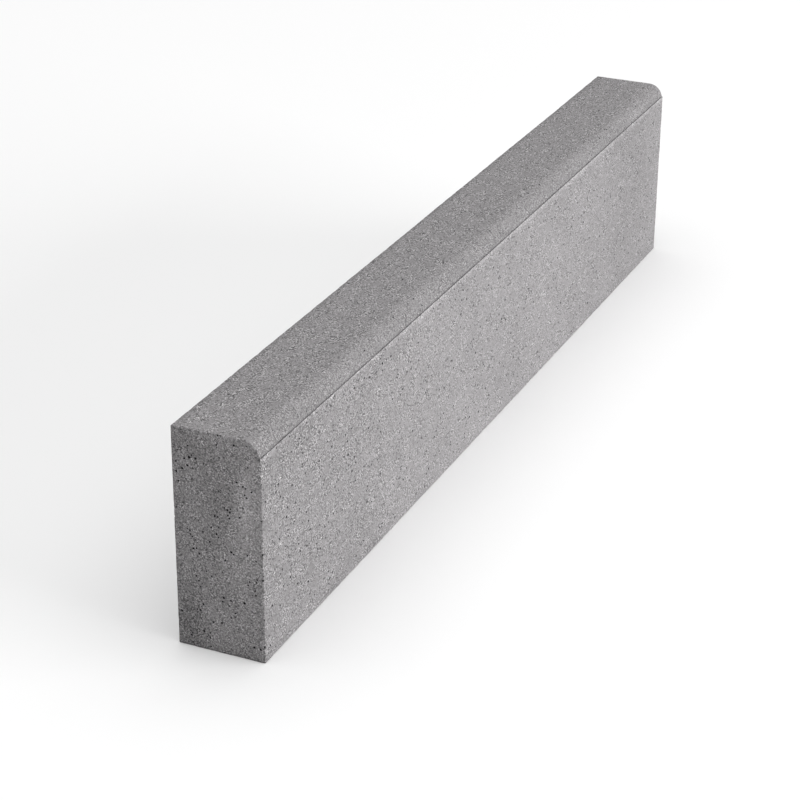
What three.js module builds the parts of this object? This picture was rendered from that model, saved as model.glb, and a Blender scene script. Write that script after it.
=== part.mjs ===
// Concrete kerb stone: one pressed block with a long rounded nose on one top edge.
//
// Frame, in millimetres: the origin is the middle of the bed, +Z is up,
// +Y runs along the kerb and +X points out of the exposed face, the one under
// the rounded nose. The block stands on its bed, with its length level.
import * as THREE from 'three';

// Driving dimensions
const LENGTH = 1000;       // end to end, along Y
const HEIGHT = 200;        // bed to top, along Z
const WIDTH = 80;          // back face to exposed face, along X
const NOSE_RADIUS = 16;    // rounded top edge of the exposed face
const LEDGE_DROP = 13.5;   // the nose ends this far below the top ...
const LEDGE_WIDTH = 1;     // ... on a ledge this wide, left where stamp met mould
const ARRIS_RADIUS = 1;    // the other three long edges, barely broken
const END_ARRIS = 0.8;     // the edges round both end faces
const NOSE_STEPS = 16;     // straight pieces along the nose
const ARRIS_STEPS = 3;     // straight pieces round each small arris

const back = -WIDTH / 2;
const face = WIDTH / 2;

// Centre of the nose's arc. It leaves the top tangentially and meets the ledge
// just short of upright, because the ledge lies a little above the centre.
const noseX = face - LEDGE_WIDTH
  - Math.sqrt(NOSE_RADIUS ** 2 - (NOSE_RADIUS - LEDGE_DROP) ** 2);
const noseZ = HEIGHT - NOSE_RADIUS;
const ledgeAngle = Math.asin((NOSE_RADIUS - LEDGE_DROP) / NOSE_RADIUS);

// Points on an arc from one angle to another, both ends included.
function arc(cx, cz, radius, from, to, steps) {
  const points = [];
  for (let i = 0; i <= steps; i++) {
    const a = from + (to - from) * i / steps;
    points.push(new THREE.Vector2(cx + radius * Math.cos(a), cz + radius * Math.sin(a)));
  }
  return points;
}

// Cross-section, seen with X to the right and Z up, anticlockwise from the
// lower edge of the exposed face.
const section = new THREE.Shape([
  ...arc(face - ARRIS_RADIUS, ARRIS_RADIUS, ARRIS_RADIUS, -Math.PI / 2, 0, ARRIS_STEPS),
  new THREE.Vector2(face, HEIGHT - LEDGE_DROP),
  ...arc(noseX, noseZ, NOSE_RADIUS, ledgeAngle, Math.PI / 2, NOSE_STEPS),
  ...arc(back + ARRIS_RADIUS, HEIGHT - ARRIS_RADIUS, ARRIS_RADIUS, Math.PI / 2, Math.PI, ARRIS_STEPS),
  ...arc(back + ARRIS_RADIUS, ARRIS_RADIUS, ARRIS_RADIUS, Math.PI, 1.5 * Math.PI, ARRIS_STEPS),
]);

// The section runs the whole length, and the bevel draws it in round each end.
const block = new THREE.ExtrudeGeometry(section, {
  depth: LENGTH - 2 * END_ARRIS,
  steps: 1,
  curveSegments: 1,
  bevelEnabled: true,
  bevelThickness: END_ARRIS,
  bevelSize: END_ARRIS,
  bevelOffset: -END_ARRIS,
  bevelSegments: 2,
});

const concrete = new THREE.MeshStandardMaterial({
  name: 'pressed concrete',
  color: 0xa19f9f,
  roughness: 0.93,
  metalness: 0,
});

// The section is drawn flat and extruded along its own Z, so the block is
// turned up to put the section's height along +Z and its length along Y.
const kerb = new THREE.Mesh(block, concrete);
kerb.name = 'kerb_stone';
kerb.rotation.x = Math.PI / 2;
kerb.position.set(0, LENGTH / 2 - END_ARRIS, 0);

const part = new THREE.Group();
part.name = 'concrete_kerb_stone';
part.add(kerb);

export default part;
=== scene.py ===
# Pressed concrete kerb stone: the finished surface of the one block, its
# concrete, the studio floor, the lights and the camera. All lengths in the mesh
# code are millimetres, and the finished mesh is turned into metres.
import math

import bpy
import numpy as np
from mathutils import Matrix, Vector
from mathutils.geometry import delaunay_2d_cdt


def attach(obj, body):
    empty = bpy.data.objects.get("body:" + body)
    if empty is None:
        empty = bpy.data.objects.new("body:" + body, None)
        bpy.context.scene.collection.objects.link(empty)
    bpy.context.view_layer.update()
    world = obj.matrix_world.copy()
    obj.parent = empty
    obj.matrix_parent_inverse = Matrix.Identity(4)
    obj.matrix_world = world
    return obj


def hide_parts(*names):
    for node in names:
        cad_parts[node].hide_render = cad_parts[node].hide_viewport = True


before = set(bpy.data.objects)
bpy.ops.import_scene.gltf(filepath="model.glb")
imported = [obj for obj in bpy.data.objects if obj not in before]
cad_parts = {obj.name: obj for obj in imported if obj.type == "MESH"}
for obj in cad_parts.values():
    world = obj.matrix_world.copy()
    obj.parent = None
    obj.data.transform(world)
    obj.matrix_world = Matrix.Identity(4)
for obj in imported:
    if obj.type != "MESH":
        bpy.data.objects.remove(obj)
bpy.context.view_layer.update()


# ---------------------------------------------------------------- dimensions
LENGTH, HEIGHT, WIDTH = 1000.0, 200.0, 80.0
NOSE_R, LEDGE_DROP, LEDGE_W = 16.0, 13.5, 1.0
ARRIS = 1.0          # bed arrises
BACK_ARRIS = 1.25    # the top edge at the back
END_R = 0.8          # round both end faces
NOSE_X = WIDTH / 2 - LEDGE_W - math.sqrt(NOSE_R**2 - (NOSE_R - LEDGE_DROP) ** 2)
NOSE_Z = HEIGHT - NOSE_R
NOSE_FROM = math.asin((NOSE_R - LEDGE_DROP) / NOSE_R)
LEDGE_Z = HEIGHT - LEDGE_DROP

# concrete: mean albedo, and the strength of each part of its tone, as the
# logarithm of a factor
ALBEDO = (0.2453, 0.2378, 0.2416)
CLOUDS, PATCHES, BLOTCH, STREAKS = 0.24, 0.26, 0.13, 0.14
FINE, DUST, SEAMS = 0.56, 0.56, 1.62
CELLS_A, CELLS_B = 0.28, 0.12
# how far the grain's strength drifts from place to place on each face, and how much
# calmer the pale places are
UNEVEN_END, UNEVEN_FACE, UNEVEN_TOP, UNEVEN_NOSE, PALE_CALM = 2.4, 3.1, 3.4, -6.0, 0.6
# painted highlight on the ledge's lip, painted shade in the groove behind it, and the pinholes' darkness: dirt
# and painted shade in their hollows
LIP_PAINTED_HIGHLIGHT, CREASE_PAINTED_SHADE, PIT_DIRT_AND_PAINTED_SHADE = 0.32, 1.45, 3.1
# painted shade along the foot and the rear edge of the ends
FOOT_PAINTED_SHADE, REAR_PAINTED_SHADE = 1.1, 0.42
# how coarse each face's grain is, beside the ends' own 1.0
COARSE_FACE, COARSE_TOP, COARSE_NOSE, COARSE_CLOSED = 0.92, 0.98, -0.62, -0.16
# painted light and shade for how the light falls on each face: the nose and the ends darker, the top and the
# exposed face paler, and a line of painted shade along the top edge at the back
SHADE_NOSE, SHADE_TOP, SHADE_END, SHADE_FACE, SHADE_BACK_EDGE = -0.152, 0.048, -0.192, 0.046, -0.20

# studio: the sky's strength overhead and in the band at the horizon
SKY_HIGH, SKY_BAND = 1.55, 0.86
KEY_AT, KEY_SIZE, KEY_POWER = (5.8, 0.55, 1.28), (5.4, 2.35), 300.0
FLOOR_ALBEDO = 0.95

rng = np.random.default_rng(20817)


# ---------------------------------------------------------------- section
def arc(cx, cz, r, a, b, n):
    t = np.linspace(a, b, n + 1)
    return np.stack([cx + r * np.cos(t), cz + r * np.sin(t)], 1)


FX, BX = WIDTH / 2, -WIDTH / 2
half_pi = math.pi / 2
LIP = 0.34           # the ledge's rounded outer lip
parts = [
    ("bed", np.array([[0.0, 0.0], [FX - ARRIS, 0.0]])),
    ("arris", arc(FX - ARRIS, ARRIS, ARRIS, -half_pi, 0, 4)),
    ("face", np.array([[FX, ARRIS], [FX, LEDGE_Z - LIP]])),
    ("lip", arc(FX - LIP, LEDGE_Z - LIP, LIP, 0, math.radians(125), 4)),
    (
        "groove",
        np.array(
            [
                [39.32, 186.22],
                [39.24, 186.00],
                [39.10, 185.88],
                [38.98, 185.98],
                [38.95, 186.22],
                [38.99, 186.50],
            ]
        ),
    ),
    ("nose", arc(NOSE_X, NOSE_Z, NOSE_R, NOSE_FROM, half_pi, 14)),
    ("top", np.array([[NOSE_X, HEIGHT], [BX + BACK_ARRIS, HEIGHT]])),
    ("arris", arc(BX + BACK_ARRIS, HEIGHT - BACK_ARRIS, BACK_ARRIS, half_pi, math.pi, 5)),
    ("back", np.array([[BX, HEIGHT - BACK_ARRIS], [BX, ARRIS]])),
    ("arris", arc(BX + ARRIS, ARRIS, ARRIS, math.pi, 1.5 * math.pi, 4)),
    ("bed", np.array([[BX + ARRIS, 0.0], [0.0, 0.0]])),
]

line = [parts[0][1][0]]
spans = []           # (kind, s at its start, s at its end)
s_at = [0.0]
for kind, pts in parts:
    start = s_at[-1]
    for p in pts:
        step = float(np.linalg.norm(p - line[-1]))
        if step > 1e-6:
            line.append(p)
            s_at.append(s_at[-1] + step)
    spans.append((kind, start, s_at[-1]))
line, s_at = np.array(line), np.array(s_at)
PERIM = float(s_at[-1])

# outward normals at the section's points, taken from both sides of each
seg = np.diff(line, axis=0)
seg /= np.linalg.norm(seg, axis=1)[:, None]
seg_n = np.stack([seg[:, 1], -seg[:, 0]], 1)
pt_n = np.vstack([seg_n[-1] + seg_n[0], seg_n[:-1] + seg_n[1:], seg_n[-1] + seg_n[0]])
pt_n /= np.linalg.norm(pt_n, axis=1)[:, None]


def on_section(s):
    """Place and outward normal in X and Z at the distance s round the section."""
    s = np.asarray(s, float)
    x, z = np.interp(s, s_at, line[:, 0]), np.interp(s, s_at, line[:, 1])
    nx, nz = np.interp(s, s_at, pt_n[:, 0]), np.interp(s, s_at, pt_n[:, 1])
    n = np.hypot(nx, nz)
    return x, z, nx / n, nz / n


def span(kind, nth=0):
    return [(a, b) for k, a, b in spans if k == kind][nth]


S_FACE, S_NOSE, S_TOP, S_BACK = span("face"), span("nose"), span("top"), span("back")
S_LIP, S_GROOVE = span("lip"), span("groove")
S_BED_A, S_BED_B = span("bed", 0), span("bed", 1)


def carrier(s, nx, nz):
    """The normal without the ledge's own small shape, so that the lip and the
    groove move with the face they lie in."""
    t = np.clip((s - S_LIP[0]) / (S_NOSE[0] - S_LIP[0]), 0, 1) * NOSE_FROM
    on_ledge = (s > S_LIP[0]) & (s < S_NOSE[0])
    return np.where(on_ledge, np.cos(t), nx), np.where(on_ledge, np.sin(t), nz)


# ---------------------------------------------------------------- slow waves
def waves(count, shortest, longest, dims):
    """A smooth field from -1 to 1 or so: a sum of cosines with seeded phases."""
    length = np.exp(rng.uniform(math.log(shortest), math.log(longest), count))
    way = rng.normal(size=(count, dims))
    way /= np.linalg.norm(way, axis=1)[:, None]
    k = way * (2 * math.pi / length)[:, None]
    phase = rng.uniform(0, 2 * math.pi, count)
    gain = (length / longest) ** 0.5
    gain /= math.sqrt((gain**2).sum() / 2)

    def field(*at):
        at = np.stack([np.asarray(a, float) for a in at], -1)
        return (np.cos(at @ k.T + phase) * gain).sum(-1)

    return field


swell = waves(22, 60, 320, 3)
ripple = waves(30, 14, 50, 3)
wear_stain_and_painted_light = waves(40, 3.5, 40, 1)
ragged = waves(40, 3.0, 18, 1)
lip_wave = waves(36, 2.5, 30, 1)
crowd = waves(26, 9, 60, 3)
end_wave = waves(24, 4, 40, 1)


def hollow(x, y, z):
    """How far the cast face lies behind its nominal plane. Never negative."""
    return np.clip(0.11 + 0.055 * swell(x, y, z) + 0.022 * ripple(x, y, z), 0.0, 0.4)


def near(s, centre, width):
    return np.exp(-(((s - centre) / width) ** 2))


ARRIS_AT = [0.5 * sum(span("arris", i)) for i in range(3)]
LIP_AT = 0.5 * (S_LIP[0] + S_LIP[1])


def wear(s, y):
    """Extra loss along the long edges, deepest on the edge itself."""
    loss = np.zeros_like(s)
    for i, at in enumerate(ARRIS_AT):
        amount = np.clip(wear_stain_and_painted_light(y + 517.0 * i) * 0.09 + 0.06, 0.0, 0.5)
        loss += amount * near(s, at, 1.3)
    fringe = np.clip(lip_wave(y) * 0.035 + 0.035, 0.0, 0.13)
    return loss + fringe * near(s, LIP_AT, 0.4)


def end_radius(s):
    """The rounding of the end edges. It shrinks at the ledge, which is small itself."""
    r = END_R + 0.14 * end_wave(s)
    tight = near(s, 0.5 * (S_LIP[0] + S_GROOVE[1]), 1.6)
    return np.clip(r * (1 - tight) + 0.15 * tight, 0.14, 1.1)


HALF = LENGTH / 2
V_MAIN = HALF - 1.2
V_STEPS = np.array([0.25, 0.5, 0.75, 1.0])   # quarter-circle steps of the end edge
V_END = V_MAIN + 1.2 * V_STEPS[-1]


def strip_point(s, v):
    """Place and outward normal of a point of the long faces.
    v is Y up to V_MAIN, and beyond it runs round the end edge to the end face."""
    s, v = np.asarray(s, float), np.asarray(v, float)
    x, z, nx, nz = on_section(s)
    r = end_radius(s)
    over = np.clip((np.abs(v) - V_MAIN) / (V_END - V_MAIN), 0, 1)
    # the main length is drawn out to where the rounding starts
    stretch = np.clip((np.abs(v) - (V_MAIN - 12)) / 12, 0, 1)
    y = np.abs(v) + stretch * ((HALF - r) - V_MAIN) * (over <= 0)
    y = np.where(over > 0, HALF - r + r * np.sin(over * half_pi), y)
    draw = r * (1 - np.cos(over * half_pi))
    y = np.sign(v) * y
    cx, cz = carrier(s, nx, nz)
    sunk, lost = hollow(x, y, z), wear(s, y) + draw
    x, z = x - cx * sunk - nx * lost, z - cz * sunk - nz * lost
    # the end face is slightly hollow as well, and takes its edge with it
    pull = np.clip((np.abs(y) - (HALF - 10)) / 10, 0, 1)
    y = y - np.sign(y) * pull * hollow(x, y + 900.0, z)
    bend = over * half_pi
    n = np.stack([nx * np.cos(bend), np.sign(v) * np.sin(bend), nz * np.cos(bend)], -1)
    return np.stack([x, y, z], -1), n


# ---------------------------------------------------------------- pinholes
class Hash:
    """Finds placed pits near a point."""

    def __init__(self, cell=4.0):
        self.cell, self.at = cell, {}

    def clear(self, u, v, r, gap):
        i, j = int(u // self.cell), int(v // self.cell)
        for a in (i - 1, i, i + 1):
            for b in (j - 1, j, j + 1):
                for uu, vv, rr in self.at.get((a, b), ()):
                    if (uu - u) ** 2 + (vv - v) ** 2 < (rr + r + gap) ** 2:
                        return False
        return True

    def add(self, u, v, r):
        self.at.setdefault((int(u // self.cell), int(v // self.cell)), []).append((u, v, r))


def scatter(area, count, radii, gap, table, keep, pairs=0.0, tries=40):
    """Seeded pits in the rectangle area, closer together where keep() is high."""
    (u0, u1), (v0, v1) = area
    found = []

    def place(u, v):
        r = float(rng.triangular(*radii))
        if not (u0 + r < u < u1 - r and v0 + r < v < v1 - r):
            return False
        if not table.clear(u, v, r, gap):
            return False
        table.add(u, v, r)
        found.append((u, v, r))
        return True

    for _ in range(tries * count):
        if len(found) >= count:
            break
        u, v = rng.uniform(u0, u1), rng.uniform(v0, v1)
        if rng.random() > keep(u, v):
            continue
        if place(u, v) and rng.random() < pairs:
            a, d = rng.uniform(0, 2 * math.pi), rng.uniform(1.5, 3.2)
            place(u + d * math.cos(a), v + d * math.sin(a))
    return found


BIG_PIT = 0.78       # from this radius on a pit has walls and a floor


def ring(u, v, r, count, squash, turn, wobble):
    t = np.arange(count) * (2 * math.pi / count) + rng.uniform(0, 6.28)
    rr = r * (1 + wobble * rng.uniform(-1, 1, count))
    a, b = rr * np.cos(t), rr * np.sin(t) * squash
    return np.stack(
        [u + a * math.cos(turn) - b * math.sin(turn), v + a * math.sin(turn) + b * math.cos(turn)], 1
    )


def pit_points(u, v, r):
    """Rim, wall and floor points of one pit, with their depth and darkness; the darkness is dirt and painted
    shade in the hollow.
    """
    squash, turn = rng.uniform(0.72, 1.0), rng.uniform(0, math.pi)
    if r >= BIG_PIT:
        rim = ring(u, v, r, 9, squash, turn, 0.10)
        centre = np.array([u, v])
        wall = centre + (rim - centre) * 0.84
        deep = r * rng.uniform(1.1, 1.7)
        pts = np.vstack([rim, wall, [centre]])
        depth = np.r_[np.zeros(9), np.full(9, deep * 0.8), deep]
        dark = np.r_[np.zeros(9), np.full(9, 1.0), 1.0]
    else:
        rim = ring(u, v, r, 7, squash, turn, 0.12)
        deep = r * rng.uniform(1.0, 1.6)
        pts = np.vstack([rim, [[u, v]]])
        depth = np.r_[np.zeros(7), deep]
        dark = np.r_[np.zeros(7), 1.25]
    return pts, depth, dark


# ---------------------------------------------------------------- long faces
pts, depth, dark = [], [], []
table = Hash()


def keep_on_strip(near_end):
    """near_end is how much closer together they lie towards -Y."""

    def keep(s, v):
        x, z, _, _ = on_section(s)
        more = 1 + (near_end - 1) / (1 + math.exp((v + 255.0) / 45.0))
        return more / near_end * np.clip(0.5 + 0.35 * crowd(x, v, z), 0.08, 1.0)

    return keep


pits = []
V_PIT = V_MAIN - 1.0
for a, b, big, small, crowded in (
    (S_FACE[0] + 1.0, S_FACE[1] - 1.0, 580, 2350, 2.2),
    (S_BACK[0] + 1.0, S_BACK[1] - 1.0, 380, 1000, 1.0),
    (S_TOP[0], S_TOP[1] - 0.4, 14, 170, 1.0),
    (S_NOSE[0] + 1.6, S_NOSE[1], 14, 110, 1.0),
    (S_BED_A[0] + 1.4, S_BED_A[1] - 0.8, 50, 90, 1.0),
    (S_BED_B[0] + 0.8, S_BED_B[1] - 1.4, 50, 90, 1.0),
):
    area = ((a, b), (-V_PIT, V_PIT))
    pits += scatter(area, big, (0.78, 0.98, 1.50), 0.5, table, keep_on_strip(1.0), 0.12)
    pits += scatter(area, small, (0.36, 0.60, 0.77), 0.45, table, keep_on_strip(crowded), 0.12)
    if crowded > 1:
        pits += scatter(area, 300, (0.62, 0.72, 0.77), 0.45, table, keep_on_strip(9.0), 0.12)

for u, v, r in pits:
    p, d, k = pit_points(u, v, r)
    pts.append(p), depth.append(d), dark.append(k)

# more pinholes crowd the exposed face near -Y, from a seed of their own
main_rng, rng = rng, np.random.default_rng(20417)
area = ((S_FACE[0] + 1.0, S_FACE[1] - 1.0), (-V_PIT, V_PIT))
more = scatter(area, 75, (0.80, 0.90, 1.15), 0.5, table, keep_on_strip(9.0), 0.12)
more += scatter(area, 130, (0.60, 0.70, 0.77), 0.45, table, keep_on_strip(9.0), 0.12)
for u, v, r in more:
    p, d, k = pit_points(u, v, r)
    pts.append(p), depth.append(d), dark.append(k)
rng = main_rng


def add_plain(p):
    """Adds surface points that lie clear of every pit."""
    ok = np.array([table.clear(u, v, 0.0, 0.42) for u, v in p], bool)
    p = p[ok]
    pts.append(p), depth.append(np.zeros(len(p))), dark.append(np.zeros(len(p)))


# rows along the kerb where the section bends
rows = []
for kind, a, b in spans:
    if kind in ("arris", "lip", "groove", "nose"):
        inside = s_at[(s_at >= a - 1e-6) & (s_at <= b + 1e-6)]
        rows += list(inside)
rows = np.unique(np.round(rows, 5))
fine = (rows > S_FACE[1] - 0.1) & (rows < S_NOSE[0] + 0.1)
for s, thin in zip(rows, fine):
    n = int(2 * V_MAIN / (2.6 if not thin else 2.2))
    v = np.linspace(-V_MAIN, V_MAIN, n + 1)[1:-1]
    v = v + rng.uniform(-0.5, 0.5, len(v))
    add_plain(np.stack([np.full(len(v), s), v], 1))


def grid_fill(a, b, pitch, shake=0.3):
    """Shaken grid points between two rows."""
    ns, nv = max(1, round((b - a) / pitch) - 1), round(2 * (V_MAIN - 1.5) / pitch)
    ss = a + (np.arange(ns) + 1) * (b - a) / (ns + 1)
    vv = np.linspace(-V_MAIN + 2.0, V_MAIN - 2.0, nv)
    g = np.stack(np.meshgrid(ss, vv, indexing="ij"), -1).reshape(-1, 2)
    add_plain(g + rng.uniform(-shake, shake, g.shape) * pitch)


grid_fill(*S_FACE, 6.5)
grid_fill(*S_BACK, 6.5)
grid_fill(*S_TOP, 5.5)
grid_fill(*S_BED_A, 7.0)
grid_fill(*S_BED_B, 7.0)

# pits cut open by the end arrises: which end, place round the section, how far
# from the middle of the rounding towards the end face, and radius
def at_face(z):
    return S_FACE[0] + z - ARRIS


def at_back(z):
    return S_BACK[0] + HEIGHT - BACK_ARRIS - z


arris_pits = [
    (-1, at_face(15.5), 0.1, 1.15),
    (-1, at_face(41.0), -0.4, 0.75),
    (-1, at_face(77.5), 0.3, 0.95),
    (-1, at_face(81.5), -0.3, 0.70),
    (-1, at_face(101.0), 0.0, 1.10),
    (-1, at_face(131.5), 0.2, 0.85),
    (-1, at_face(164.0), -0.3, 0.70),
    (-1, at_back(33.0), 0.2, 0.80),
    (-1, at_back(118.0), -0.2, 0.95),
    (-1, S_TOP[0] + 21.0, 0.2, 0.80),
    (1, at_face(28.0), 0.0, 1.00),
    (1, at_face(93.0), 0.3, 0.80),
    (1, at_face(149.0), -0.3, 0.95),
    (1, at_back(52.0), 0.2, 1.05),
    (1, at_back(57.5), -0.2, 0.75),
    (1, at_back(160.0), 0.1, 0.90),
    (1, S_TOP[0] + 38.0, 0.0, 0.85),
]
V_ARRIS = 0.5 * (V_MAIN + V_END)


def arris_pit_depth(s, v):
    """Depth and darkness of the arris pits at a place on the strip; the darkness is dirt and painted shade in
    the hollow.
    """
    deep, black = np.zeros(len(s)), np.zeros(len(s))
    for sign, s0, off, r in arris_pits:
        d = np.hypot(s - s0, sign * v - (V_ARRIS + off)) / r
        deep = np.maximum(deep, 0.9 * r * np.sqrt(np.clip(1 - d**2, 0, 1)))
        black = np.maximum(black, np.clip((1 - d) * 5, 0, 1))
    return deep, black


# the two ends: every row has the same points round the section
ring_s = [rows[(rows > 1e-6) & (rows < PERIM - 1e-6)]]
for sign, s0, off, r in arris_pits:
    ring_s.append(s0 + r * np.array([-1.05, -0.8, -0.45, 0.0, 0.45, 0.8, 1.05]))
    across = np.array([-0.8, -0.45, 0.0, 0.45, 0.8]) * r
    for v in (V_MAIN - 0.28, V_MAIN - 0.56):
        p = np.stack([s0 + across, np.full(5, sign * v)], 1)
        pts.append(p), depth.append(np.zeros(5)), dark.append(np.zeros(5))
    p = np.stack([s0 + across * 1.6, np.full(5, sign * (V_MAIN - 0.86))], 1)
    pts.append(p), depth.append(np.zeros(5)), dark.append(np.zeros(5))
for a, b in (S_BED_A, S_FACE, S_TOP, S_BACK, S_BED_B):
    n = max(2, round((b - a) / 3.0))
    inner = np.linspace(a, b, n + 1)[1:-1]
    inner = inner + rng.uniform(-0.5, 0.5, len(inner))
    apart = [min(abs(q - s0) - 1.5 * r for _, s0, _, r in arris_pits) > 0 for q in inner]
    ring_s.append(inner[apart])
ring_s = np.unique(np.round(np.concatenate(ring_s), 5))
ends_v = np.r_[V_MAIN, V_MAIN + (V_END - V_MAIN) * V_STEPS]
for sign in (-1, 1):
    for v in ends_v:
        p = np.stack([ring_s, np.full(len(ring_s), sign * v)], 1)
        pts.append(p), depth.append(np.zeros(len(p))), dark.append(np.zeros(len(p)))

# the seam along the middle of the bed, the same at both sides of the strip
seam_v = np.r_[-ends_v[::-1], np.linspace(-V_MAIN, V_MAIN, 200)[1:-1], ends_v]
for s in (0.0, PERIM):
    p = np.stack([np.full(len(seam_v), s), seam_v], 1)
    pts.append(p), depth.append(np.zeros(len(p))), dark.append(np.zeros(len(p)))

flat = np.vstack(pts)
depth, dark = np.concatenate(depth), np.concatenate(dark)
deep, black = arris_pit_depth(flat[:, 0], flat[:, 1])
at_end = np.abs(flat[:, 1]) > V_MAIN - 1.0
depth, dark = np.where(at_end, np.maximum(depth, deep), depth), np.where(at_end, np.maximum(dark, black), dark)


def triangulate(points, outline=None):
    """Delaunay triangles of points, all anticlockwise."""
    v2 = [Vector((float(a), float(b))) for a, b in points]
    if outline is None:
        out = delaunay_2d_cdt(v2, [], [], 0, 1e-5)
    else:
        out = delaunay_2d_cdt(v2, [], [outline], 1, 1e-5)
    verts, _, faces, source = out[0], out[1], out[2], out[3]
    first = np.array([s[0] if s else -1 for s in source])
    if (first < 0).any():
        raise RuntimeError("the triangulation made points of its own")
    tri = first[np.array([f for f in faces], int)]
    p = np.asarray(points, float)
    a, b, c = p[tri[:, 0]], p[tri[:, 1]], p[tri[:, 2]]
    area = (b[:, 0] - a[:, 0]) * (c[:, 1] - a[:, 1]) - (b[:, 1] - a[:, 1]) * (c[:, 0] - a[:, 0])
    tri = np.where((area < 0)[:, None], tri[:, ::-1], tri)
    return tri[np.abs(area) > 1e-9]


tri = triangulate(flat)[:, ::-1]   # the strip is seen from inside, so it is turned
xyz, normal = strip_point(flat[:, 0], flat[:, 1])
xyz = xyz - normal * depth[:, None]

# weld the seam
seam_n = len(seam_v)
weld = np.arange(len(flat))
weld[len(flat) - seam_n:] = np.arange(len(flat) - 2 * seam_n, len(flat) - seam_n)
strip_tri_uv = tri.copy()
tri = weld[tri]

all_xyz, all_dark = [xyz], [dark]
faces, face_uv = [tri], []
UV_W, UV_H = LENGTH + 24.0, PERIM + WIDTH + 32.0


def strip_uv(p):
    return np.stack([(p[:, 1] + V_END + 8.0) / UV_W, (p[:, 0] + 8.0) / UV_H], 1)


face_uv.append(strip_uv(flat)[strip_tri_uv])

# ---------------------------------------------------------------- end faces
total = len(xyz)
seam_at = len(flat) - 2 * seam_n
for sign in (-1, 1):
    # the boundary ring, in order round the section
    v = sign * V_END
    on_end = np.where(np.abs(flat[:, 1] - v) < 1e-6)[0]
    on_end = on_end[on_end < len(flat) - seam_n]          # leave out the welded copy
    order = on_end[np.argsort(flat[on_end, 0])]
    edge = all_xyz[0][order][:, [0, 2]]
    y_edge = all_xyz[0][order][:, 1]

    table2 = Hash()

    def keep_on_end(x, z, sign=sign):
        return float(np.clip(0.55 + 0.28 * crowd(x, sign * 700.0, z), 0.12, 1.0))

    area = ((BX + 1.6, FX - 1.6), (1.6, HEIGHT - 1.6))

    def inside(x, z, margin):
        if z > NOSE_Z and x > NOSE_X:
            return math.hypot(x - NOSE_X, z - NOSE_Z) < NOSE_R - margin
        return BX + margin < x < FX - margin and margin < z < HEIGHT - margin

    holes = scatter(area, 88, (0.79, 0.90, 1.45), 0.5, table2, keep_on_end, 0.30)
    holes += scatter(area, 50, (0.66, 0.74, 0.77), 0.45, table2, keep_on_end, 0.15)
    holes += scatter(area, 230, (0.36, 0.55, 0.72), 0.45, table2, keep_on_end, 0.1)
    holes = [h for h in holes if inside(h[0], h[1], h[2] + 1.5)]
    p2, d2, k2 = [edge], [np.zeros(len(edge))], [np.zeros(len(edge))]
    for u, w, r in holes:
        p, d, k = pit_points(u, w, r)
        p2.append(p), d2.append(d), k2.append(k)
    # the arris pits run on into the end face
    for side, s0, off, r in arris_pits:
        if side != sign:
            continue
        for back, spread in ((0.28, 1.0), (0.60, 1.0), (0.98, 1.6)):
            q = s0 + np.array([-0.8, -0.4, 0.0, 0.4, 0.8]) * r * spread
            qx, qz, qnx, qnz = on_section(q)
            inward = end_radius(q) + 0.11 + back
            deep, black = arris_pit_depth(q, np.full(5, sign * (V_END + back)))
            p2.append(np.stack([qx - qnx * inward, qz - qnz * inward], 1))
            d2.append(deep), k2.append(black)
            for a, b in p2[-1]:
                table2.add(a, b, 0.0)
    gx, gz = np.arange(BX + 3.5, FX - 2, 4.5), np.arange(3.5, HEIGHT - 2, 4.5)
    g = np.stack(np.meshgrid(gx, gz, indexing="ij"), -1).reshape(-1, 2)
    g = g + rng.uniform(-1.2, 1.2, g.shape)
    g = np.array([q for q in g if inside(q[0], q[1], 2.2) and table2.clear(q[0], q[1], 0, 0.45)])
    p2.append(g), d2.append(np.zeros(len(g))), k2.append(np.zeros(len(g)))
    p2, d2, k2 = np.vstack(p2), np.concatenate(d2), np.concatenate(k2)
    n_edge = len(edge)
    tri2 = triangulate(p2, list(range(n_edge)))
    y = sign * (HALF - hollow(p2[:, 0], np.full(len(p2), sign * HALF + sign * 900.0), p2[:, 1]) - d2)
    cap = np.stack([p2[:, 0], y, p2[:, 1]], 1)[n_edge:]
    index = np.r_[order, total + np.arange(len(cap))]
    all_xyz.append(cap), all_dark.append(k2[n_edge:])
    total += len(cap)
    if sign > 0:
        tri2 = tri2[:, ::-1]
    faces.append(index[tri2])
    off = 8.0 if sign < 0 else 8.0 + HEIGHT + 16.0
    uv = np.stack([(p2[:, 1] + off) / UV_W, (p2[:, 0] - BX + PERIM + 20.0) / UV_H], 1)
    face_uv.append(uv[tri2])

xyz = np.vstack(all_xyz)
dark = np.concatenate(all_dark)
tri = np.vstack(faces)
tri_uv = np.concatenate(face_uv)

# drop the seam's unused copies
used = np.zeros(len(xyz), bool)
used[tri.ravel()] = True
renumber = np.cumsum(used) - 1
tri, xyz, dark = renumber[tri], xyz[used], dark[used]
s_of = np.r_[flat[:, 0], np.full(len(used) - len(flat), -1.0)][used]
v_of = np.r_[flat[:, 1], np.zeros(len(used) - len(flat))][used]

# everything stays inside the block's own box
xyz[:, 0] = np.clip(xyz[:, 0], BX, FX)
xyz[:, 1] = np.clip(xyz[:, 1], -HALF, HALF)
xyz[:, 2] = np.clip(xyz[:, 2], 0.0, HEIGHT)

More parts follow.
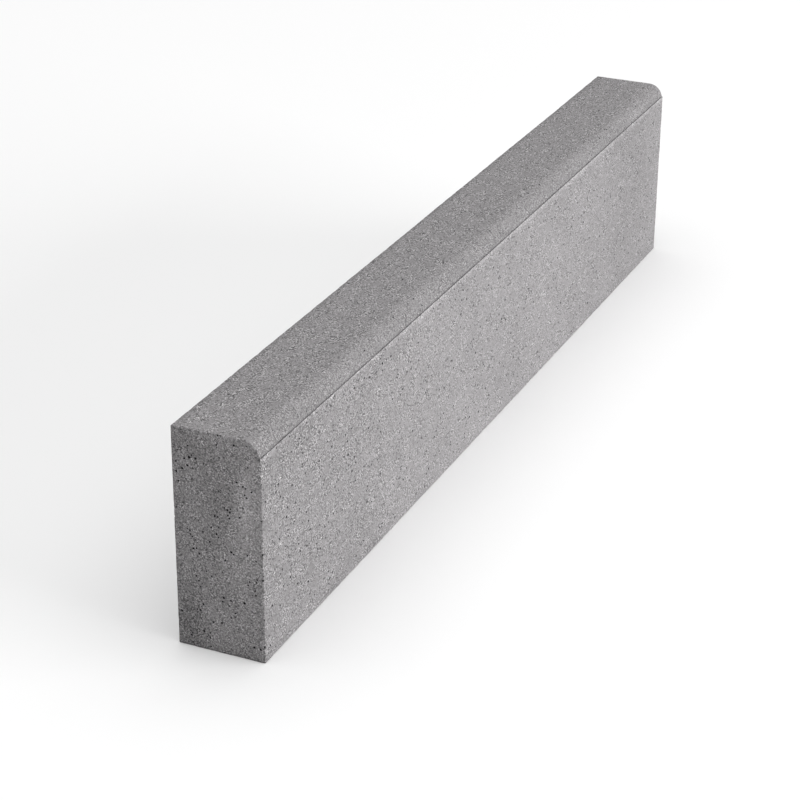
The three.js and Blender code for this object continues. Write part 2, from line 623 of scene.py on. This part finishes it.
# ---------------------------------------------------------------- mesh object
me = bpy.data.meshes.new("kerb_concrete")
me.vertices.add(len(xyz))
me.vertices.foreach_set("co", (xyz / 1000.0).astype(np.float32).ravel())
me.loops.add(3 * len(tri))
me.loops.foreach_set("vertex_index", tri.astype(np.int32).ravel())
me.polygons.add(len(tri))
me.polygons.foreach_set("loop_start", np.arange(0, 3 * len(tri), 3, dtype=np.int32))
me.update(calc_edges=True)
me.polygons.foreach_set("use_smooth", np.ones(len(tri), bool))
uvs = me.uv_layers.new(name="OFBake")
uvs.uv.foreach_set("vector", tri_uv.reshape(-1, 2).astype(np.float32).ravel())


def attribute(name, values):
    a = me.attributes.new(name, "FLOAT", "POINT")
    a.data.foreach_set("value", np.asarray(values, np.float32))


on_strip = s_of >= 0
nose_t = np.clip((s_of - S_NOSE[0]) / (S_NOSE[1] - S_NOSE[0]), 0, 1)
sandy = np.where((s_of > S_NOSE[0]) & (s_of <= S_NOSE[1]), 0.15 + 0.85 * nose_t**1.6, 0.0)
sandy = np.where((s_of > S_NOSE[1]) & (s_of < S_TOP[1] + 0.6), 1.0, sandy)
# painted highlight along the ledge's lip
lip = np.where(on_strip, near(s_of, S_LIP[0] + 0.1, 1.2), 0.0)
# painted shade in the groove of the ledge
painted_crease_shade = np.where(on_strip, near(s_of, 0.5 * (S_GROOVE[0] + S_GROOVE[1]), 0.55), 0.0)


def patch(u, v, u0, v0, su, sv, gain):
    return gain * np.exp(-(((u - u0) / su) ** 2) - ((v - v0) / sv) ** 2)


# each face's lightness, as the logarithm of a factor: painted light and shade for how the light falls on each
# face, and stains
shade = np.zeros(len(xyz))
shade += np.where(sandy > 0, SHADE_NOSE * (1 - nose_t) + SHADE_TOP * nose_t**2, 0.0)
# painted shade along the rounded top edge at the back, which faces away from the light
shade += np.where(on_strip, SHADE_BACK_EDGE * near(s_of, ARRIS_AT[1], 1.5), 0.0)
end = np.where(on_strip, 0.0, 1.0)
on_edge = on_strip & (np.abs(v_of) > V_MAIN + 0.01)
end = np.where(on_edge, (np.abs(v_of) - V_MAIN) / (V_END - V_MAIN), end)
x, y, z = xyz.T
# the ends: paler towards the exposed side, which faces the light, and darker low down at the back: partly
# stains, partly painted light and shade;
# the far end has the same patches, turned over
ex, ez = np.where(y < 0, x, 4 - 0.9 * x), np.where(y < 0, z, 188 - 0.9 * z)
pale_stain_and_painted_light = patch(ex, ez, 23, 144, 9, 23, 0.22) + patch(ex, ez, 30, 150, 12, 31, 0.24)
pale_stain_and_painted_light += patch(ex, ez, 22, 84, 15, 36, 0.20) + patch(ex, ez, 27, 120, 11, 24, 0.08)
dark_stain_and_painted_shade = patch(ex, ez, -38, 14, 17, 36, 0.27) + patch(ex, ez, -24, 22, 13, 30, 0.20)
dark_stain_and_painted_shade += patch(ex, ez, -37, 95, 14, 40, 0.15) + patch(ex, ez, 2, 135, 10, 42, 0.10)
dark_stain_and_painted_shade += patch(ex, ez, 13, 153, 6, 22, 0.12) + patch(ex, ez, -34, 188, 13, 13, 0.26)
dark_stain_and_painted_shade += patch(ex, ez, 10, -6, 60, 14, 0.20)
# stains with painted light and shade on the ends
wear_stain_and_painted_light = end * (pale_stain_and_painted_light - dark_stain_and_painted_shade)
shade += wear_stain_and_painted_light + end * SHADE_END
# the exposed face: darker over its near quarter, in a soft band close to the far end
# and along the ledge, and a little paler low down: partly stains, partly painted shade for how the light falls
# along and up the face
drift = y + 18 * swell(x + 300.0, y, z) + 6 * ripple(x + 300.0, y, z)
stain_and_painted_shade = 0.112 / (1 + np.exp((drift + 278 - 0.35 * (z - 90)) / 37))
stain_and_painted_shade += patch(drift, z, 397, 164, 66, 160, 0.128) + patch(drift, z, -380, 48, 36, 22, 0.06)
stain_and_painted_shade += 0.06 * np.exp(-(((z - 205) / 45) ** 2)) - patch(drift, z, -16, 8, 365, 26, 0.06)
stain_and_painted_shade -= patch(drift, z, -490, 92, 34, 30, 0.06)
exposed = (1 - end) * (x > 30) * (s_of < S_FACE[1] + 0.5)
wear_stain_and_painted_light -= exposed * stain_and_painted_shade
shade += exposed * (SHADE_FACE - stain_and_painted_shade)
# the skin of the exposed face closes up a little round the middle of its length, and
# the top's grain is a little coarser towards the far end
closed = 1 / (1 + np.exp(-(y + 165.0) / 60.0)) - 0.7 * np.exp(-(((y - 195) / 130) ** 2))
closed = exposed * closed - 0.4 * (sandy > 0) * np.clip((y + 100) / 500, 0, 1)
# the pinholes' darkness, dirt and painted shade in their hollows, is weaker towards the far end of the exposed
# face
attribute("pit", dark * (1 - 0.4 * exposed * np.clip((y - 150) / 250, 0, 1)))
attribute("closed", closed)
attribute("end", end)
attribute("shade", shade)
attribute("wear_stain_and_painted_light", wear_stain_and_painted_light)
attribute("sandy", sandy)
attribute("lip", lip)
attribute("painted_crease_shade", painted_crease_shade)
me.set_sharp_from_angle(angle=math.radians(38))
me.validate(verbose=False)
kerb = bpy.data.objects.new("kerb_concrete", me)
bpy.context.scene.collection.objects.link(kerb)
print("KERB", len(me.vertices), "vertices", len(me.polygons), "triangles", flush=True)

# ---------------------------------------------------------------- concrete
mat = bpy.data.materials.new("pressed_concrete")
mat.use_nodes = True
nt = mat.node_tree
nt.nodes.clear()


class Net:
    """Small helpers for building a node tree."""

    def __init__(self, tree):
        self.t = tree
        self.n = 0

    def node(self, kind, **values):
        n = self.t.nodes.new(kind)
        n.location = (-200 * (self.n % 12), -180 * (self.n // 12))
        self.n += 1
        for k, v in values.items():
            setattr(n, k, v)
        return n

    def put(self, socket, value):
        if isinstance(value, bpy.types.NodeSocket):
            self.t.links.new(value, socket)
        elif value is not None:
            socket.default_value = value

    def math(self, op, a, b=None, c=None, clamp=False):
        n = self.node("ShaderNodeMath", operation=op, use_clamp=clamp)
        self.put(n.inputs[0], a)
        self.put(n.inputs[1], b)
        if c is not None:
            self.put(n.inputs[2], c)
        return n.outputs[0]

    def attribute(self, name):
        return self.node("ShaderNodeAttribute", attribute_type="GEOMETRY", attribute_name=name).outputs["Fac"]

    def noise(self, vector, scale, detail=2.0, rough=0.5, lac=2.0, kind="FBM"):
        n = self.node("ShaderNodeTexNoise", noise_dimensions="3D", noise_type=kind)
        self.put(n.inputs["Vector"], vector)
        self.put(n.inputs["Scale"], scale)
        self.put(n.inputs["Detail"], detail)
        self.put(n.inputs["Roughness"], rough)
        self.put(n.inputs["Lacunarity"], lac)
        return n.outputs["Fac"]

    def span(self, value, a, b, c, d, smooth=False):
        n = self.node("ShaderNodeMapRange", interpolation_type="SMOOTHSTEP" if smooth else "LINEAR")
        n.clamp = True
        self.put(n.inputs["Value"], value)
        for name, x in zip(("From Min", "From Max", "To Min", "To Max"), (a, b, c, d)):
            self.put(n.inputs[name], x)
        return n.outputs["Result"]

    def centred(self, value, gain):
        """value from 0 to 1 about a half, as 1 plus gain times its offset."""
        return self.math("MULTIPLY_ADD", value, gain, 1.0 - gain / 2)


net = Net(nt)
coords = net.node("ShaderNodeTexCoord").outputs["Object"]
pit_a, sandy_a, end_a = net.attribute("pit"), net.attribute("sandy"), net.attribute("end")
lip_highlight_a, painted_crease_shade_a, shade_a = net.attribute("lip"), net.attribute("painted_crease_shade"), net.attribute("shade")
closed_a, wear_stain_and_painted_light_a = net.attribute("closed"), net.attribute("wear_stain_and_painted_light")


def offset(value, gain):
    """gain times value's distance from a half: a term of the tone's logarithm."""
    return net.math("MULTIPLY_ADD", value, gain, -gain / 2)


def add(*terms):
    total = terms[0]
    for t in terms[1:]:
        total = net.math("ADD", total, t)
    return total


# slow clouds, patches, and faint upright streaks from the mould
clouds = net.noise(coords, 9.0, 2.0, 0.5)
lying = net.node("ShaderNodeMapping", vector_type="POINT")
net.put(lying.inputs["Vector"], coords)
lying.inputs["Scale"].default_value = (1.0, 0.55, 1.0)
lying = lying.outputs["Vector"]
patches = net.noise(lying, 38.0, 2.0, 0.5)
blotch = net.noise(lying, 120.0, 2.0, 0.55)
stretch = net.node("ShaderNodeMapping", vector_type="POINT")
net.put(stretch.inputs["Vector"], coords)
stretch.inputs["Scale"].default_value = (60.0, 60.0, 5.0)
streaks = net.noise(stretch.outputs["Vector"], 1.0, 3.0, 0.55)

# grain from a few millimetres down to the sand itself; the joints between the
# grains of sand are darker than their middles. The pattern is turned, so that
# no face lies along its own grid.
turned = net.node("ShaderNodeMapping", vector_type="POINT")
net.put(turned.inputs["Vector"], coords)
turned.inputs["Location"].default_value = (0.0131, 0.0072, 0.0053)
turned.inputs["Rotation"].default_value = (0.62, 0.41, 0.87)
turned = turned.outputs["Vector"]
grain = net.noise(turned, 300.0, 1.0, 0.5)
fine_grain = net.noise(turned, 640.0, 1.0, 0.5)
dust = net.noise(turned, 1700.0, 1.0, 0.5)
# the grains' outlines are broken up by moving the place a little
jumble = net.node("ShaderNodeTexNoise", noise_dimensions="3D")
net.put(jumble.inputs["Vector"], turned)
for name, value in (("Scale", 1300.0), ("Detail", 1.0), ("Roughness", 0.5)):
    jumble.inputs[name].default_value = value
push = net.node("ShaderNodeVectorMath", operation="MULTIPLY_ADD")
net.put(push.inputs[0], jumble.outputs["Color"])
push.inputs[1].default_value = (0.0012, 0.0012, 0.0012)
net.put(push.inputs[2], turned)
broken = push.outputs[0]


def cells(scale, vector=broken):
    """Sand grains: the distance to each grain's middle and two tones for it."""
    v = net.node("ShaderNodeTexVoronoi", voronoi_dimensions="3D", feature="F1")
    net.put(v.inputs["Vector"], vector)
    v.inputs["Scale"].default_value = scale
    v.inputs["Randomness"].default_value = 1.0
    tones = net.node("ShaderNodeSeparateColor")
    net.put(tones.inputs[0], v.outputs["Color"])
    return v.outputs["Distance"], tones.outputs[0], tones.outputs[1]


sand_far, sand_tone, sand_odd = cells(980.0)
grit_far, grit_tone, grit_odd = cells(690.0)
# a few grains are much darker or much paler than the rest
odd = add(
    net.span(sand_odd, 0.90, 0.97, 0.0, -0.95),
    net.span(sand_odd, 0.05, 0.10, 0.28, 0.0),
)

# specks: tiny voids in the skin, with seeded sizes, darkened in the colour as painted shade
speck_far, _, speck_size = cells(300.0, turned)
speck_r = net.span(speck_size, 0.45, 1.0, 0.0, 0.17)
speck = net.span(net.math("SUBTRACT", speck_r, speck_far), -0.02, 0.04, 0.0, 1.0)
skin = net.math("MULTIPLY_ADD", sandy_a, -0.8, 1.0)

# the foot and the rear edge of the ends get a thin line of painted shade
place = net.node("ShaderNodeSeparateXYZ")
net.put(place.inputs[0], coords)
foot = net.span(place.outputs["Z"], 0.0, 0.0018, FOOT_PAINTED_SHADE, 0.0, smooth=True)
rear = net.span(place.outputs["X"], BX / 1000, BX / 1000 + 0.0018, REAR_PAINTED_SHADE, 0.0, smooth=True)
edge_painted_shade = net.math("MULTIPLY", end_a, add(foot, rear))

coarse = net.math("MULTIPLY_ADD", end_a, 1.0 - COARSE_FACE, COARSE_FACE)
coarse = net.math("MULTIPLY_ADD", sandy_a, COARSE_TOP - COARSE_FACE, coarse)
# smoothest half way over the rounded nose
nose_a = net.math("MULTIPLY", sandy_a, net.math("SUBTRACT", 1.0, sandy_a))
coarse = net.math("MULTIPLY_ADD", nose_a, COARSE_NOSE, coarse)
coarse = net.math("MULTIPLY_ADD", closed_a, COARSE_CLOSED, coarse)
calm = net.math("MULTIPLY_ADD", sandy_a, -0.80, 1.0)
calm = net.math("MULTIPLY_ADD", end_a, 0.30, calm)
small = add(
    offset(fine_grain, FINE),
    offset(dust, DUST),
    offset(grit_far, -SEAMS),
    offset(sand_tone, CELLS_A),
    offset(grit_tone, CELLS_B),
    net.math("MULTIPLY", odd, net.math("MULTIPLY_ADD", sandy_a, 0.6, 0.4)),
)
large = add(offset(clouds, CLOUDS), offset(patches, PATCHES), offset(blotch, BLOTCH), offset(streaks, STREAKS))
large = net.math("MULTIPLY", net.math("MULTIPLY", large, coarse), calm)
# the cement covers the sand unevenly; the grain is calmer in the pale places, the painted light on the ends
# among them
cover = net.math("SUBTRACT", net.noise(lying, 120.0, 1.0, 0.6), 0.5)
drift = net.math("MULTIPLY_ADD", end_a, UNEVEN_END - UNEVEN_FACE, UNEVEN_FACE)
drift = net.math("MULTIPLY_ADD", sandy_a, UNEVEN_TOP - UNEVEN_FACE, drift)
drift = net.math("MULTIPLY_ADD", nose_a, UNEVEN_NOSE, drift)
bare = net.math("MULTIPLY_ADD", add(large, wear_stain_and_painted_light_a), -PALE_CALM, 1.0)
bare = net.math("MULTIPLY", bare, net.math("MAXIMUM", net.math("MULTIPLY_ADD", cover, drift, 1.0), 0.2))
level = add(
    net.math("MULTIPLY", net.math("MULTIPLY", small, coarse), bare),
    large,
    # painted shade in the specks
    net.math("MULTIPLY", net.math("MULTIPLY", speck, skin), -1.2),
    # dirt and painted shade in the pinholes
    net.math("MULTIPLY", pit_a, -PIT_DIRT_AND_PAINTED_SHADE),
    # painted highlight on the lip
    net.math("MULTIPLY", lip_highlight_a, LIP_PAINTED_HIGHLIGHT),
    # painted shade in the groove
    net.math("MULTIPLY", painted_crease_shade_a, -CREASE_PAINTED_SHADE),
    # painted shade along the foot and rear edge of the ends
    net.math("MULTIPLY", edge_painted_shade, -1.0),
    # painted light and shade of each face, with the stains
    shade_a,
)
tone = net.math("EXPONENT", level)

colour = net.node("ShaderNodeCombineColor")
for socket, base in zip(colour.inputs, ALBEDO):
    net.put(socket, net.math("MULTIPLY", tone, base, clamp=True))

relief = add(
    net.math("MULTIPLY", grain, 0.30),
    net.math("MULTIPLY", fine_grain, 0.25),
    net.math("MULTIPLY", sand_far, net.math("MULTIPLY_ADD", sandy_a, -0.30, -0.06)),
    net.math("MULTIPLY", grit_far, net.math("MULTIPLY_ADD", sandy_a, -0.20, -0.05)),
    net.math("MULTIPLY", net.math("MULTIPLY", speck, skin), -0.35),
)
bump = net.node("ShaderNodeBump")
bump.inputs["Strength"].default_value = 0.55
bump.inputs["Distance"].default_value = 0.0006
net.put(bump.inputs["Height"], relief)

rough = net.math("MULTIPLY_ADD", patches, 0.10, 0.86)
rough = net.math("ADD", rough, net.math("MULTIPLY", sandy_a, 0.04), clamp=True)

shader = net.node("ShaderNodeBsdfPrincipled")
net.put(shader.inputs["Base Color"], colour.outputs[0])
net.put(shader.inputs["Roughness"], rough)
net.put(shader.inputs["Normal"], bump.outputs[0])
shader.inputs["IOR"].default_value = 1.45
shader.inputs["Specular IOR Level"].default_value = 0.35
out = net.node("ShaderNodeOutputMaterial")
nt.links.new(shader.outputs[0], out.inputs["Surface"])

me.materials.append(mat)
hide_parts("kerb_stone")
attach(kerb, "root")

# ---------------------------------------------------------------- studio
floor_me = bpy.data.meshes.new("studio_floor")
n = 96
ang = np.arange(n) * 2 * math.pi / n
R = 14.0
floor_me.from_pydata([(R * math.cos(a), R * math.sin(a), 0.0) for a in ang], [], [tuple(range(n))])
floor = bpy.data.objects.new("studio_floor", floor_me)
bpy.context.scene.collection.objects.link(floor)
floor_mat = bpy.data.materials.new("pale_floor")
floor_mat.use_nodes = True
b = floor_mat.node_tree.nodes["Principled BSDF"]
b.inputs["Base Color"].default_value = (FLOOR_ALBEDO, FLOOR_ALBEDO, FLOOR_ALBEDO, 1)
b.inputs["Roughness"].default_value = 0.9
b.inputs["Specular IOR Level"].default_value = 0.2
floor_me.materials.append(floor_mat)

# a soft sky, bright overhead, with a pale band at the horizon
world = bpy.data.worlds.new("studio_world")
bpy.context.scene.world = world
world.use_nodes = True
wnet = Net(world.node_tree)
bg = world.node_tree.nodes["Background"]
way = wnet.node("ShaderNodeSeparateXYZ")
wnet.put(way.inputs[0], wnet.node("ShaderNodeTexCoord").outputs["Generated"])
high = wnet.span(way.outputs[2], 0.40, 0.90, 0.0, SKY_HIGH, smooth=True)
band = wnet.span(way.outputs[2], 0.14, 0.34, SKY_BAND, 0.0, smooth=True)
wnet.put(bg.inputs["Strength"], wnet.math("ADD", high, band))
bg.inputs["Color"].default_value = (1.0, 1.0, 1.0, 1)


def softbox(name, at, aim, size, power):
    data = bpy.data.lights.new(name, "AREA")
    data.shape, data.size, data.size_y, data.energy = "RECTANGLE", size[0], size[1], power
    o = bpy.data.objects.new(name, data)
    bpy.context.scene.collection.objects.link(o)
    o.location = at
    o.rotation_mode = "QUATERNION"
    o.rotation_quaternion = (Vector(aim) - Vector(at)).to_track_quat("-Z", "Y")
    return o


softbox("key_softbox", KEY_AT, (0, 0, 0.1), KEY_SIZE, KEY_POWER)

# ---------------------------------------------------------------- camera
cam_data = bpy.data.cameras.new("camera")
cam = bpy.data.objects.new("camera", cam_data)
bpy.context.scene.collection.objects.link(cam)
right = Vector((0.9128309161926542, 0.4082930395904347, 0.0060425379504601695))
down = Vector((0.1818232633928382, -0.39316785230270707, -0.9013097918057115))
ahead = Vector((-0.3656227828405358, 0.8238421169967459, -0.4331329437138926))
turn = Matrix((right, -down, -ahead)).transposed()
cam.matrix_world = Matrix.Translation((0.7638937, -1.8661713, 0.9796338)) @ turn.to_4x4()
cam_data.sensor_fit = "HORIZONTAL"
cam_data.sensor_width = 36.0
cam_data.lens = 2237.6568 / 800.0 * 36.0
cam_data.clip_start, cam_data.clip_end = 0.05, 100.0
bpy.context.scene.camera = cam
bpy.context.scene.view_settings.view_transform = "Standard"
bpy.context.scene.view_settings.look = "None"
